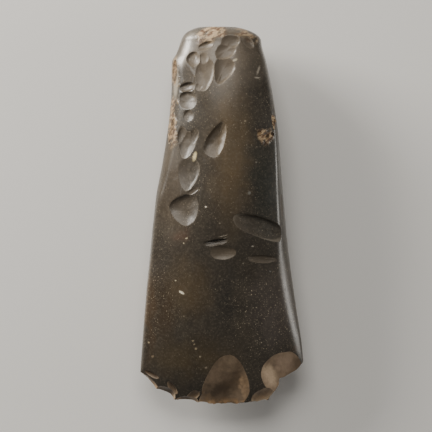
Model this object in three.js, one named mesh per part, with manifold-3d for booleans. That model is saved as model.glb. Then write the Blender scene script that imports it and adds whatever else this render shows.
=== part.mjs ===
// A polished flint axe head, lying on its back face. Millimetres, +Z up, +Y towards the butt, +X right.
// Its two broad faces are gently domed, its sides are ground to narrow facets, and the old flake scars
// that the grinding never reached are still on it, with later chips along the cutting edge.
// The origin is on the surface it lies on, under the middle of its length and width.
import * as THREE from "three";
import { mergeVertices } from "three/addons/utils/BufferGeometryUtils.js";
import Module from "manifold-3d";

// Driving sizes
const length = 175; // from the butt to the foremost point of the cutting edge
const bladeWidth = 76; // between the two corners of the blade
const buttWidth = 41; // across the butt, before its corners round off
const frontCrown = 18; // from the middle plane to the top of the front face, at its thickest
const backCrown = 17.6; // from the middle plane to the bottom of the back face, at its thickest
const bladeSweep = 15; // how far the blade's corners stand back from the middle of the edge
const buttDome = 6.8; // how far the rounded butt end stands out from the last full section
const buttOffset = -3; // X of the middle of the rounded butt end
const restingCut = 0.6; // depth ground off the back to give the small flat that the head lies on
const haftCut = 0.45; // depth ground off each side to give the flat that a haft bears on

// Profiles along the head: pairs of a share of the length from the butt and a value there
const flareLeft = [[0, -0.14], [0.035, -0.1], [0.07, 0.02], [0.09, 0.13], [0.17, 0.15], [0.25, 0.22],
  [0.36, 0.39], [0.47, 0.59], [0.6, 0.71], [0.72, 0.83], [0.87, 0.94], [1, 1]];
const flareRight = [[0, -0.12], [0.05, -0.08], [0.09, 0.03], [0.17, 0.19], [0.25, 0.32], [0.36, 0.41],
  [0.47, 0.5], [0.6, 0.63], [0.72, 0.8], [0.87, 1], [1, 1]];
// Millimetres that each long edge stands in from the outline
const edgeInset = {
  frontLeft: [[0, 3.8], [0.28, 4], [0.43, 2.8], [0.5, 1.7], [0.7, 0.7], [1, 0.5]],
  frontRight: [[0, 1.2], [0.33, 1.1], [0.47, 2.2], [0.6, 3.4], [0.7, 4.2], [0.85, 3.8], [1, 2]],
  backLeft: [[0, 2.2], [0.5, 3], [1, 1.5]],
  backRight: [[0, 3], [0.5, 2.4], [1, 1.5]],
};
// Millimetres over which each long edge is worn round
const edgeWear = {
  frontLeft: [[0, 1.6], [0.5, 1.4], [1, 2]],
  frontRight: [[0, 1.8], [0.5, 1.3], [0.62, 2], [0.75, 4.2], [1, 4]],
  backLeft: [[0, 2], [1, 3]],
  backRight: [[0, 2], [1, 3]],
};
// Shares of the crown height, by the share of the way from the cutting edge to the butt
const frontThickness = [[0, 0], [0.04, 0.19], [0.1, 0.37], [0.2, 0.59], [0.35, 0.82], [0.5, 0.97],
  [0.58, 1], [0.8, 0.93], [0.92, 0.78], [1, 0.62]];
const backThickness = [[0, 0], [0.04, 0.19], [0.1, 0.38], [0.2, 0.62], [0.35, 0.88], [0.48, 0.99],
  [0.53, 1], [0.76, 0.9], [0.92, 0.76], [1, 0.62]];
const edgeHeight = [[0, 0.8], [0.15, 0.68], [0.5, 0.56], [1, 0.62]];

const edgeCurve = 3.6; // the power of the cutting edge's curve in plan
const fullRowsEnd = length / 2 - buttDome; // Y of the last full section
const edgeMiddle = -length / 2; // Y of the cutting edge at its middle
const middlePlane = backCrown - restingCut; // Z of the middle plane

// The mesh: steps round half a section, rows along the head, rows over the butt
const sideSteps = 2;
const wearSteps = 2;
const mostWorn = 0.6; // the most of a side's height that its worn edge may take up
const faceSteps = 10;
const rows = 34;
const buttRows = 4;
const buttReach = THREE.MathUtils.degToRad(62); // how far round its quarter circle the butt's dome goes
const rowCrowding = 1.35; // rows stand closer towards the cutting edge

// Value at a place on a smooth curve through a profile's points.
function along(profile, place) {
  const last = profile.length - 1;
  const x = THREE.MathUtils.clamp(place, profile[0][0], profile[last][0]);
  let i = 0;
  while (i < last - 1 && profile[i + 1][0] < x) i += 1;
  const slope = (k) => {
    const before = profile[Math.max(k - 1, 0)];
    const after = profile[Math.min(k + 1, last)];
    return (after[1] - before[1]) / (after[0] - before[0]);
  };
  const span = profile[i + 1][0] - profile[i][0];
  const s = (x - profile[i][0]) / span;
  const bend = s * (1 - s);
  return (
    THREE.MathUtils.lerp(profile[i][1], profile[i + 1][1], s * s * (3 - 2 * s)) +
    span * bend * ((1 - s) * slope(i) - s * slope(i + 1))
  );
}

// Share of the length from the butt, at a Y.
const shareDown = (y) => 0.5 - y / length;

// Half the width to the left (side -1) or the right (side 1), at a Y.
function halfWidth(side, y) {
  const flare = along(side < 0 ? flareLeft : flareRight, shareDown(y));
  return THREE.MathUtils.lerp(buttWidth / 2, bladeWidth / 2, flare);
}

// Y of the cutting edge under a place across the head, from -1 at its left outline to 1 at its right.
const cuttingEdge = (across) => edgeMiddle + bladeSweep * Math.abs(across) ** edgeCurve;

// Half a section, front or back, as steps from the left outline to the right one.
// Each step is a place across, from -1 to 1, and a height above the middle plane.
function halfSection(face, row) {
  const isFront = face === "front";
  const top = isFront ? frontCrown * along(frontThickness, row) : backCrown * along(backThickness, row);
  const ridge = top * along(edgeHeight, row);
  const y = THREE.MathUtils.lerp(edgeMiddle, fullRowsEnd, row);
  const down = shareDown(y);
  const flank = (side) => {
    const half = halfWidth(side, y);
    const name = face + (side < 0 ? "Left" : "Right");
    const inset = along(edgeInset[name], down) / half;
    const worn = Math.min(along(edgeWear[name], down) / ridge, mostWorn);
    return { side, inset, reach: 1 - worn, onto: (worn * ridge) / half };
  };
  const left = flank(-1);
  const right = flank(1);
  const onFace = (across) => {
    const start = -1 + left.inset;
    const m = (2 * (across - start)) / (2 - left.inset - right.inset) - 1;
    return new THREE.Vector2(across, ridge + (top - ridge) * (1 - m * m));
  };
  const onSide = (f, share) => new THREE.Vector2(f.side * (1 - f.inset * share * share), ridge * share);
  // The worn edge is a curve from the side, past the sharp corner, to the face.
  const worn = (f) => {
    const high = onFace(f.side * (1 - f.inset - f.onto));
    return new THREE.QuadraticBezierCurve(onSide(f, f.reach), onSide(f, 1), high).getPoints(wearSteps);
  };
  const climb = (f) => Array.from({ length: sideSteps }, (_, k) => onSide(f, (f.reach * k) / sideSteps));
  const leftWorn = worn(left);
  const rightWorn = worn(right).reverse();
  const from = leftWorn.at(-1).x;
  const to = rightWorn[0].x;
  const across = Array.from({ length: faceSteps - 1 }, (_, k) =>
    onFace(THREE.MathUtils.lerp(from, to, (k + 1) / faceSteps)),
  );
  return [...climb(left), ...leftWorn, ...across, ...rightWorn, ...climb(right).reverse()];
}

// A place across and a row, from 0 at the cutting edge to 1 at the last full section, as X and Y.
function planPoint(across, row) {
  const y = THREE.MathUtils.lerp(cuttingEdge(across), fullRowsEnd, row);
  return new THREE.Vector2(across * halfWidth(across < 0 ? -1 : 1, y), y);
}

// The whole section at a row: over the front from left to right, then back under it.
function wholeSection(row) {
  const front = halfSection("front", row);
  const back = halfSection("back", row);
  // At the cutting edge itself both faces share their points.
  if (row === 0) {
    front.forEach((step, k) => {
      step.lerp(back[k], 0.5);
      back[k].copy(step);
    });
  }
  const point = (step, up) => {
    const plan = planPoint(step.x, row);
    return new THREE.Vector3(plan.x, plan.y, middlePlane + up * step.y);
  };
  const under = back.slice(1, -1).reverse();
  return [...front.map((step) => point(step, 1)), ...under.map((step) => point(step, -1))];
}

// The butt end: the last section drawn in and carried forward over a quarter circle, then a flat.
function buttSections() {
  const last = wholeSection(1);
  const middle = new THREE.Vector3(buttOffset, fullRowsEnd, middlePlane);
  const sections = [];
  for (let k = 1; k <= buttRows; k += 1) {
    const angle = (buttReach * k) / buttRows;
    const forward = (buttDome * Math.sin(angle)) / Math.sin(buttReach);
    const drawnIn = (p) => p.clone().sub(middle).multiplyScalar(Math.cos(angle)).add(middle);
    sections.push(last.map((p) => drawnIn(p).setY(fullRowsEnd + forward)));
  }
  const tip = middle.clone().setY(length / 2);
  return [...sections, last.map(() => tip.clone())];
}

// The head before its scars, as one closed mesh: a flat grid moved onto the sections.
function groundBody() {
  const sections = [];
  for (let k = 0; k <= rows; k += 1) sections.push(wholeSection((k / rows) ** rowCrowding));
  sections.push(...buttSections());
  const round = sections[0].length;
  const grid = new THREE.PlaneGeometry(1, 1, round, sections.length - 1);
  const position = grid.getAttribute("position");
  sections
    .slice()
    .reverse()
    .forEach((section, j) => {
      for (let k = 0; k <= round; k += 1) {
        position.setXYZ(j * (round + 1) + k, ...section[k % round].toArray());
      }
    });
  return joined(grid);
}

const wasm = await Module();
wasm.setup();

// The same geometry with its shared vertices merged and its collapsed triangles left out.
function joined(geometry) {
  geometry.deleteAttribute("normal");
  geometry.deleteAttribute("uv");
  const merged = mergeVertices(geometry, 1e-4);
  const index = merged.index.array;
  const kept = [];
  for (let i = 0; i < index.length; i += 3) {
    const [a, b, c] = index.slice(i, i + 3);
    if (a !== b && b !== c && c !== a) kept.push(a, b, c);
  }
  return merged.setIndex(kept);
}

// A joined, closed geometry as a solid.
function solidFrom(geometry) {
  return new wasm.Manifold(
    new wasm.Mesh({
      numProp: 3,
      vertProperties: geometry.attributes.position.array,
      triVerts: new Uint32Array(geometry.index.array),
    }),
  );
}

// Height of a face above the middle plane, at a place across and a row.
function faceHeight(face, across, row) {
  const steps = halfSection(face, row);
  let i = 0;
  while (i < steps.length - 2 && steps[i + 1].x < across) i += 1;
  const s = (across - steps[i].x) / Math.max(steps[i + 1].x - steps[i].x, 1e-6);
  return THREE.MathUtils.lerp(steps[i].y, steps[i + 1].y, THREE.MathUtils.clamp(s, 0, 1));
}

// A point on a broad face. The place is a share of the length down from the butt and a share across.
function faceAt(face, down, across) {
  const y = length * (0.5 - down);
  const up = face === "front" ? 1 : -1;
  const foot = cuttingEdge(across);
  const row = THREE.MathUtils.clamp((y - foot) / (fullRowsEnd - foot), 0, 1);
  const z = middlePlane + up * faceHeight(face, across, row);
  return new THREE.Vector3(across * halfWidth(across < 0 ? -1 : 1, y), y, z);
}

// A point on a side. The height is a share of the way from the middle plane to the front edge.
function sideAt(side, down, height) {
  const y = length * (0.5 - down);
  const row = THREE.MathUtils.clamp((y - edgeMiddle) / (fullRowsEnd - edgeMiddle), 0, 1);
  const ridge = frontCrown * along(frontThickness, row) * along(edgeHeight, row);
  const inset = along(edgeInset[side < 0 ? "frontLeft" : "frontRight"], down) * height * height;
  return new THREE.Vector3(side * (halfWidth(side, y) - inset), y, middlePlane + ridge * height);
}

// A place's point, its normal, the way that its face looks out, and the direction that angles start from.
function placeOn(face, down, across) {
  const step = 0.01;
  const broad = face === "front" || face === "back";
  const at = (d, a) => (broad ? faceAt(face, d, a) : sideAt(face === "left" ? -1 : 1, d, a));
  const point = at(down, across);
  const lengthways = at(down - step, across).sub(at(down + step, across));
  const crossways = at(down, across + step).sub(at(down, across - step));
  const normal = crossways.cross(lengthways).normalize();
  const outward = broad
    ? new THREE.Vector3(0, 0, face === "front" ? 1 : -1)
    : new THREE.Vector3(face === "left" ? -1 : 1, 0, 0);
  if (normal.dot(outward) < 0) normal.negate();
  const zero = broad ? new THREE.Vector3(1, 0, 0) : new THREE.Vector3(0, 1, 0);
  return { point, normal, outward, zero };
}

// A direction along the surface at a place. Seen from outside, its angle runs anticlockwise from zero.
function directionAt({ normal, outward, zero }, degrees) {
  const flat = zero.clone().applyAxisAngle(outward, THREE.MathUtils.degToRad(degrees));
  return flat.addScaledVector(outward, -flat.dot(normal) / outward.dot(normal)).normalize();
}

// The scoop that a struck flake leaves: a shallow hollow with an oval outline, steep on one side and
// running out to nothing on the others. Its floor is a disc of rings, and it is closed by a lid above.
const scoopRings = [0.42, 0.76, 1, 1.2];
const scoopLid = 9; // how far the lid stands above the surface
const steepestWall = 7; // added to the floor's power of 2 on the steep side

// The outline is long by wide, narrower towards its turn by the taper, and squarer as `square` passes 2.
// `crisp`, from 0 to 1, is how sharply the floor climbs at its steep side. `arch` is how far the two ends
// of a long scoop bend down, to follow the dome of the face.
function scoop({ size, turn = 0, steep = turn, crisp = 0.4, taper = 0, square = 2, arch = 0, sides = 14 }) {
  const [long, wide, deep] = size;
  const rim = scoopRings.at(-1);
  const floorLine = [0, ...scoopRings].map((r) => new THREE.Vector2(r, 0));
  const lidLine = [new THREE.Vector2(rim, 1), new THREE.Vector2(0, 1)];
  const disc = new THREE.LatheGeometry([...floorLine, ...lidLine], sides);
  const position = disc.getAttribute("position");
  const wall = THREE.MathUtils.degToRad(steep - turn);
  for (let i = 0; i < position.count; i += 1) {
    const r = Math.hypot(position.getX(i), position.getZ(i));
    const angle = Math.atan2(position.getX(i), position.getZ(i));
    const isLid = position.getY(i) > 0.5;
    const power = 2 + steepestWall * crisp * Math.max(0, Math.cos(angle - wall)) ** 2;
    const floor = r <= 1 ? -deep * (1 - r ** power) : deep * power * (r - 1);
    const c = Math.cos(angle);
    const w = Math.sin(angle);
    const reach = r * (Math.abs(c) ** square + Math.abs(w) ** square) ** (-1 / square);
    const aside = (wide / 2) * reach * w * (1 - taper * c);
    const bent = floor - arch * (reach * c) ** 2;
    position.setXYZ(i, (long / 2) * reach * c, aside, isLid ? scoopLid : bent);
  }
  return joined(disc);
}

// A scoop set at a place, leaned by some degrees towards a direction.
function scoopAt(place, shape) {
  const { turn = 0, lean = 0, leanTo = 0 } = shape;
  const tip = THREE.MathUtils.degToRad(lean);
  const normal = place.normal
    .clone()
    .multiplyScalar(Math.cos(tip))
    .addScaledVector(directionAt(place, leanTo), Math.sin(tip));
  const first = directionAt({ ...place, normal }, turn);
  const second = normal.clone().cross(first);
  const basis = new THREE.Matrix4().makeBasis(first, second, normal).setPosition(place.point);
  return solidFrom(scoop(shape).applyMatrix4(basis));
}

// Flake scars on the front face that the grinding left. Each is `at` a share of the length down from the
// butt and a share of the half width across. Its size is long, wide and deep. Angles are in degrees from +X.
const frontScars = {
  rightLens: {
    at: [0.53, 0.6], size: [26.5, 9.6, 1.9], turn: -17, steep: 74,
    crisp: 1, square: 2.3, arch: 1.6, sides: 24,
  },
  teardrop: {
    at: [0.487, -0.53], size: [15.4, 15, 2], turn: -74, steep: 118,
    crisp: 0.5, taper: 0.36, square: 2.3, sides: 20,
  },
  doubleRim: {
    at: [0.391, -0.541], size: [16.4, 11, 1.3], turn: 84, steep: -12, crisp: 0.9, taper: -0.35, sides: 18,
  },
  ledge: { at: [0.437, -0.45], size: [9.4, 2.8, 0.5], turn: 32, steep: -55, crisp: 0.6, sides: 10 },
  heart: { at: [0.314, -0.605], size: [13.6, 9, 1.4], turn: 77, steep: 150, taper: -0.3, sides: 18 },
  heartLeft: { at: [0.296, -0.69], size: [11, 6, 1.1], turn: 94, steep: 150, sides: 12 },
  heartRight: { at: [0.296, -0.52], size: [10.6, 5.4, 0.95], turn: 62, steep: -30, crisp: 0.6, sides: 12 },
  centre: {
    at: [0.299, -0.078], size: [18.6, 8.8, 1.9], turn: 65, steep: 150,
    crisp: 0.7, taper: 0.38, square: 2.4, sides: 18,
  },
  halfMoon: { at: [0.197, -0.664], size: [10.6, 8.6, 1.4], turn: -8, steep: 92, crisp: 1, square: 2.2 },
  underMoon: { at: [0.236, -0.62], size: [5.8, 5.6, 0.8], turn: 60, steep: 140, crisp: 0.6, sides: 12 },
  crescent: { at: [0.162, -0.687], size: [9.8, 4.6, 1.4], turn: 12, steep: 102, crisp: 0.7, sides: 12 },
  slit: { at: [0.57, -0.07], size: [14.5, 3, 1], turn: 9, steep: 97, crisp: 1, sides: 14 },
  underSlit: { at: [0.597, 0.03], size: [15.6, 7, 1], turn: -2, steep: 80, crisp: 0.3, taper: 0.15 },
  lowLine: { at: [0.614, 0.59], size: [19, 3.8, 0.9], turn: -2, steep: 88, crisp: 0.9, sides: 12 },
};

// Scars round the butt, struck down from the end of the head
const buttScars = {
  plane: {
    at: [0.127, -0.345], size: [17.5, 10, 1.4], turn: 80, steep: -12, crisp: 0.8, taper: -0.1, sides: 18,
  },
  wedge: {
    at: [0.118, 0.035], size: [15.6, 9.6, 1.4], turn: 67, steep: -25, crisp: 0.9, taper: -0.45, sides: 18,
  },
  round: { at: [0.089, -0.56], size: [8.4, 8, 1.5], turn: 90, steep: 125, crisp: 0.8 },
  arc: { at: [0.066, 0.098], size: [13, 8, 1.2], turn: 28, steep: -62, crisp: 0.8 },
  rightArc: { at: [0.04, 0.22], size: [10.4, 7.4, 1], turn: 20, steep: -25, crisp: 0.7 },
  dark: { at: [0.053, -0.362], size: [8.8, 4, 1.1], turn: 18, steep: 105, crisp: 0.7, sides: 12 },
  rightEnd: {
    at: [0.045, 0.64], size: [8.4, 5, 0.8], turn: -45, steep: 50, lean: 15, leanTo: 60, sides: 12,
  },
};

// Chips struck off the cutting edge. Those that lean cut through the edge.
const edgeChips = {
  middle: {
    at: [0.949, 0.066], size: [37, 22.5, 1.9], turn: 84, crisp: 0.3, taper: 0.32, square: 2.5, sides: 24,
  },
  right: {
    at: [0.904, 0.75], size: [28, 22.5, 2], turn: 22, steep: 150, crisp: 0.3, lean: 8, leanTo: -55, sides: 22,
  },
  middleFoot: { at: [0.978, -0.17], size: [15, 5.6, 1], turn: 62, steep: 150, lean: 6, leanTo: -90 },
  between: { at: [0.97, 0.497], size: [11.4, 6.8, 0.9], turn: 25, lean: 16, leanTo: -65, sides: 12 },
  leftCorner: { at: [0.935, -0.9], size: [13, 5.6, 1.1], turn: -40, lean: 38, leanTo: -125 },
  leftSteep: { at: [0.962, -0.7], size: [10.4, 8, 1.3], turn: -20, lean: 30, leanTo: -95 },
  leftMiddle: { at: [0.987, -0.42], size: [10.6, 7.4, 1.2], turn: -4, lean: 30, leanTo: -90 },
};

// The lost right corner: the broken outline, from the cutting edge up to the side, as points that are each a
// share of the half width and a share of the length down from the butt
const cornerBreak = [[0.58, 0.992], [0.6, 0.977], [0.671, 0.961], [0.702, 0.945], [0.715, 0.931],
  [0.793, 0.923], [0.878, 0.914], [0.962, 0.899], [1.006, 0.884]];

// Scars on the sides: the height is 0 at the middle plane and 1 at the front edge. Angles run from +Y.
const leftSideScars = {
  hollow: { at: [0.12, 0.62], size: [13, 5, 1.1], turn: 4, sides: 12 },
  rough: { at: [0.275, 0.7], size: [13, 4.4, 0.8], turn: -4, sides: 12 },
  old: { at: [0.7, -0.35], size: [22, 8, 0.9], turn: 3, steep: 90 },
};
const rightSideScars = {
  dent: { at: [0.478, 0.7], size: [15, 5, 0.6], turn: -3, sides: 12 },
  old: { at: [0.66, -0.4], size: [20, 7, 0.8], turn: -3, steep: -90 },
  high: { at: [0.11, -0.3], size: [12, 7, 0.8], turn: 10, steep: 70 },
};

// Scars on the back, where the photograph doesn't reach, fewer and plainer
const backScars = {
  buttLeft: { at: [0.11, -0.4], size: [19, 13, 1.4], turn: 84, steep: 20, crisp: 0.7, taper: 0.2 },
  buttRight: { at: [0.09, 0.36], size: [15, 12, 1.3], turn: 100, steep: 170, crisp: 0.6 },
  rightLong: { at: [0.3, 0.68], size: [20, 9, 1.4], turn: -70, steep: 190, crisp: 0.7, taper: 0.25 },
  leftLong: { at: [0.42, -0.72], size: [17, 9, 1.3], turn: 65, steep: -10, crisp: 0.6, taper: 0.2 },
  leftLow: { at: [0.66, -0.66], size: [15, 9, 1.1], turn: 20, steep: 100, crisp: 0.8 },
  rightLow: { at: [0.72, 0.6], size: [12, 6, 0.8], turn: 10, steep: 90, crisp: 0.8 },
  bladeLeft: { at: [0.93, -0.42], size: [18, 17, 1.3], turn: 90, taper: 0.2 },
  corner: {
    at: [0.9, 0.8], size: [27, 20, 2.6], turn: 60, steep: 200, crisp: 0.5, lean: 10, leanTo: 60, sides: 18,
  },
  bladeRight: { at: [0.935, 0.36], size: [21, 18, 1.4], turn: 84, taper: 0.2 },
};

// Small bites all along the cutting edge, from both faces by turns. Their places and sizes run unevenly.
const nibbleCount = 15;
const nibbleRange = [-0.9, 0.58]; // places across
const nibbleWidths = [1.8, 4.2]; // millimetres
const nibbleLength = 1.5; // along the edge, for each millimetre of width
const nibbleDepth = 0.22; // for each millimetre of width
const nibbleTilt = 46; // degrees up or down from level
const placeStep = 0.618; // how far the uneven places and widths step on from one bite to the next
const widthStep = 0.146;
const placeSpread = 0.8; // how much of its own stretch of the edge a bite may wander over

function nibbles() {
  const uneven = (k, step) => (k * step) % 1;
  const tilt = THREE.MathUtils.degToRad(nibbleTilt);
  return Array.from({ length: nibbleCount }, (_, k) => {
    const share = (k + placeSpread * uneven(k, placeStep)) / nibbleCount;
    const across = THREE.MathUtils.lerp(...nibbleRange, share);
    const width = THREE.MathUtils.lerp(...nibbleWidths, uneven(k, widthStep));
    const up = k % 2 ? 1 : -1;
    const edge = planPoint(across, 0);
    const beside = planPoint(across + 0.02, 0).sub(planPoint(across - 0.02, 0)).normalize();
    const place = {
      point: new THREE.Vector3(edge.x, edge.y, middlePlane),
      normal: new THREE.Vector3(beside.y * Math.cos(tilt), -beside.x * Math.cos(tilt), up * Math.sin(tilt)),
      outward: new THREE.Vector3(0, 0, up),
      zero: new THREE.Vector3(beside.x, beside.y, 0),
    };
    return scoopAt(place, { size: [width * nibbleLength, width, width * nibbleDepth], sides: 8 });
  });
}

// Everything beyond a plane through a point, as a big box standing on it.
const cutterSize = length * 1.2;

function beyond(point, normal) {
  const box = joined(new THREE.BoxGeometry(cutterSize, cutterSize, cutterSize));
  box.translate(0, 0, cutterSize / 2);
  box.applyQuaternion(new THREE.Quaternion().setFromUnitVectors(new THREE.Vector3(0, 0, 1), normal));
  return solidFrom(box.translate(...point.toArray()));
}

// Flats ground on the head: one on each side for the haft, one under the back, two on the butt's left corner
const haftFlat = { left: 0.49, right: 0.235 }; // shares of the length down from the butt
const buttCorner = { down: 0.008, across: -0.87, turn: 154 };
const cornerRise = 10; // degrees that the corner's lower flat looks up
const bevelRise = 50; // degrees that its upper flat, the bevel, looks up
const bevelStart = 5.2; // height above the middle plane where the bevel begins

function flats() {
  const sideFlat = (face) => {
    const { point, normal } = placeOn(face, haftFlat[face], 0);
    return beyond(point.addScaledVector(normal, -haftCut), normal);
  };
  const y = length * (0.5 - buttCorner.down);
  const corner = new THREE.Vector3(buttCorner.across * halfWidth(-1, y), y, middlePlane);
  const plan = THREE.MathUtils.degToRad(buttCorner.turn);
  const level = new THREE.Vector3(Math.cos(plan), Math.sin(plan), 0);
  const upward = new THREE.Vector3(0, 0, 1);
  const lookingUp = (degrees) => level.clone().applyAxisAngle(
    new THREE.Vector3().crossVectors(level, upward), THREE.MathUtils.degToRad(degrees),
  );
  const inward = -bevelStart * Math.tan(THREE.MathUtils.degToRad(cornerRise));
  const bend = corner.clone().addScaledVector(upward, bevelStart).addScaledVector(level, inward);
  return [
    sideFlat("left"),
    sideFlat("right"),
    beyond(new THREE.Vector3(0, 0, 0), new THREE.Vector3(0, 0, -1)),
    beyond(corner, lookingUp(cornerRise)),
    beyond(bend, lookingUp(bevelRise)),
  ];
}

// The piece broken off the right corner, as an upright block with the broken outline on its inner side.
function brokenCorner() {
  const points = cornerBreak.map(([across, down]) =>
    new THREE.Vector2((across * bladeWidth) / 2, length * (0.5 - down)),
  );
  const outer = [new THREE.Vector2(bladeWidth, points.at(-1).y), new THREE.Vector2(bladeWidth, -length)];
  const shape = new THREE.Shape([...points, ...outer, new THREE.Vector2(points[0].x, -length)]);
  const block = new THREE.ExtrudeGeometry(shape, { depth: cutterSize, bevelEnabled: false });
  return solidFrom(joined(block.translate(0, 0, -cutterSize / 2)));
}

function cutters() {
  const on = (face, scars) =>
    Object.values(scars).map((scar) => scoopAt(placeOn(face, ...scar.at), scar));
  return [
    ...flats(),
    brokenCorner(),
    ...on("front", frontScars),
    ...on("front", buttScars),
    ...on("front", edgeChips),
    ...on("left", leftSideScars),
    ...on("right", rightSideScars),
    ...on("back", backScars),
    ...nibbles(),
  ];
}

// Two bites that meet in the thin edge can leave a grain of stone loose between them, and it falls away.
const looseGrain = 1; // the largest such grain, in cubic millimetres

function withoutGrains(solid) {
  return solid
    .decompose()
    .filter((body) => body.volume() > looseGrain)
    .reduce((whole, body) => whole.add(body));
}

// The finished head: the ground body with every scar, chip and flat cut out of it.
function axeHead() {
  const cut = cutters().reduce((body, cutter) => body.subtract(cutter), solidFrom(groundBody()));
  const mesh = withoutGrains(cut).getMesh();
  const geometry = new THREE.BufferGeometry();
  geometry.setAttribute("position", new THREE.BufferAttribute(mesh.vertProperties, 3));
  geometry.setIndex(new THREE.BufferAttribute(mesh.triVerts, 1));
  return geometry;
}

const flint = new THREE.MeshStandardMaterial({ color: "#4a4238", roughness: 0.32, metalness: 0 });
const head = new THREE.Mesh(axeHead(), flint);
head.name = "axe_head";

const part = new THREE.Group();
part.add(head);
export default part;
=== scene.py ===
import math

import bmesh
import bpy
from mathutils import Matrix, Quaternion, Vector, noise


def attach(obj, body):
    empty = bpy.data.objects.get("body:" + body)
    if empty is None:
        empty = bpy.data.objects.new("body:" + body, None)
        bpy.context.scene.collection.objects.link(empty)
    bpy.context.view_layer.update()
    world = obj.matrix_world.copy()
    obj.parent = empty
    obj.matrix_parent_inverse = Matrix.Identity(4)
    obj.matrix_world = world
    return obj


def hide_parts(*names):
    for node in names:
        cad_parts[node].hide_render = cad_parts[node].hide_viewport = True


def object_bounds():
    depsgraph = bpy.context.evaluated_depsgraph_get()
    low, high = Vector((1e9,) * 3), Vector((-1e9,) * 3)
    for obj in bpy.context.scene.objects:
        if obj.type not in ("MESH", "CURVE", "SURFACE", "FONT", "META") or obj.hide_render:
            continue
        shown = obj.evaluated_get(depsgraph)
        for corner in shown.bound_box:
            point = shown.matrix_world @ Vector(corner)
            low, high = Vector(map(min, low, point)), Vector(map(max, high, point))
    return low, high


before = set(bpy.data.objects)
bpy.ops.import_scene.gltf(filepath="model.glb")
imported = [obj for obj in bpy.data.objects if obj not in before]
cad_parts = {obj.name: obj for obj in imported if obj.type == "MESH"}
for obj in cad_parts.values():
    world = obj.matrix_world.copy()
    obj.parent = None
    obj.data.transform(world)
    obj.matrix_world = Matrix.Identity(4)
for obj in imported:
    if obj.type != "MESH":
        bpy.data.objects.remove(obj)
cad_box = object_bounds()
millimetre = 0.001


# The ground head. It is a single nodule of flint that was flaked to shape and then ground and polished on wet
# stone, which left two gently domed faces and narrow flat sides. It is modelled in millimetres and brought to
# metres once everything has been cut out of it.
length = 175.0  # from the butt to the foremost point of the cutting edge
blade_width = 76.0  # between the two corners of the blade
butt_width = 41.0  # across the butt, before its corners round off
front_crown = 18.0  # from the middle plane to the top of the front face, at its thickest
back_crown = 17.6  # from the middle plane to the bottom of the back face, at its thickest
blade_sweep = 15.0  # how far the blade's corners stand back from the middle of the edge
edge_curve = 3.6  # the power of the cutting edge's curve in plan
butt_dome = 6.8  # how far the rounded butt end stands out from the last full section
butt_offset = -3.0  # X of the middle of the rounded butt end
butt_reach = math.radians(62)  # how far round its quarter circle the butt's dome goes
resting_cut = 0.6  # depth ground off the back to give the flat that the head lies on
full_rows_end = length / 2 - butt_dome  # Y of the last full section
edge_middle = -length / 2  # Y of the cutting edge at its middle
middle_plane = back_crown - resting_cut  # Z of the middle plane

# Profiles along the head: pairs of a share of the length from the butt and a value there
flare = {
    -1: [(0, -0.14), (0.035, -0.1), (0.07, 0.02), (0.09, 0.13), (0.17, 0.15), (0.25, 0.22), (0.36, 0.39),
         (0.47, 0.59), (0.6, 0.71), (0.72, 0.83), (0.87, 0.94), (1, 1)],
    1: [(0, -0.12), (0.05, -0.08), (0.09, 0.03), (0.17, 0.19), (0.25, 0.32), (0.36, 0.41), (0.47, 0.5),
        (0.6, 0.63), (0.72, 0.8), (0.87, 1), (1, 1)],
}
# Millimetres that each long edge stands in from the outline
edge_inset = {
    ("front", -1): [(0, 3.8), (0.28, 4), (0.43, 2.8), (0.5, 1.7), (0.7, 0.7), (1, 0.5)],
    ("front", 1): [(0, 1.2), (0.33, 1.1), (0.47, 2.2), (0.6, 3.4), (0.7, 4.2), (0.85, 3.8), (1, 2)],
    ("back", -1): [(0, 2.2), (0.5, 3), (1, 1.5)],
    ("back", 1): [(0, 3), (0.5, 2.4), (1, 1.5)],
}
# Millimetres over which each long edge is worn round
edge_wear = {
    ("front", -1): [(0, 1.6), (0.5, 1.4), (1, 2)],
    ("front", 1): [(0, 1.8), (0.5, 1.3), (0.62, 2), (0.75, 4.2), (1, 4)],
    ("back", -1): [(0, 2), (1, 3)],
    ("back", 1): [(0, 2), (1, 3)],
}
# Shares of the crown height, by the share of the way from the cutting edge to the butt
crown = {"front": front_crown, "back": back_crown}
thickness = {
    "front": [(0, 0), (0.04, 0.19), (0.1, 0.37), (0.2, 0.59), (0.35, 0.82), (0.5, 0.97), (0.58, 1),
              (0.8, 0.93), (0.92, 0.78), (1, 0.62)],
    "back": [(0, 0), (0.04, 0.19), (0.1, 0.38), (0.2, 0.62), (0.35, 0.88), (0.48, 0.99), (0.53, 1),
             (0.76, 0.9), (0.92, 0.76), (1, 0.62)],
}
edge_height = [(0, 0.8), (0.15, 0.68), (0.5, 0.56), (1, 0.62)]

side_steps = 6
wear_steps = 8
most_worn = 0.6  # the most of a side's height that its worn edge may take up
face_steps = 84
body_rows = 200
butt_rows = 14
row_crowding = 1.2  # rows stand closer towards the cutting edge

# Every face is of one of these four finishes.
polished, flaked, chipped, crusted = range(4)


def between(low, high, share):
    """Value or point at a share of the way from low to high."""
    return low + (high - low) * share


def along(profile, place):
    """Value at a place on a smooth curve through a profile's points."""
    last = len(profile) - 1
    x = min(max(place, profile[0][0]), profile[last][0])
    i = 0
    while i < last - 1 and profile[i + 1][0] < x:
        i += 1

    def slope(k):
        before, after = profile[max(k - 1, 0)], profile[min(k + 1, last)]
        return (after[1] - before[1]) / (after[0] - before[0])

    span = profile[i + 1][0] - profile[i][0]
    s = (x - profile[i][0]) / span
    straight = between(profile[i][1], profile[i + 1][1], s * s * (3 - 2 * s))
    return straight + span * s * (1 - s) * ((1 - s) * slope(i) - s * slope(i + 1))


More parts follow.
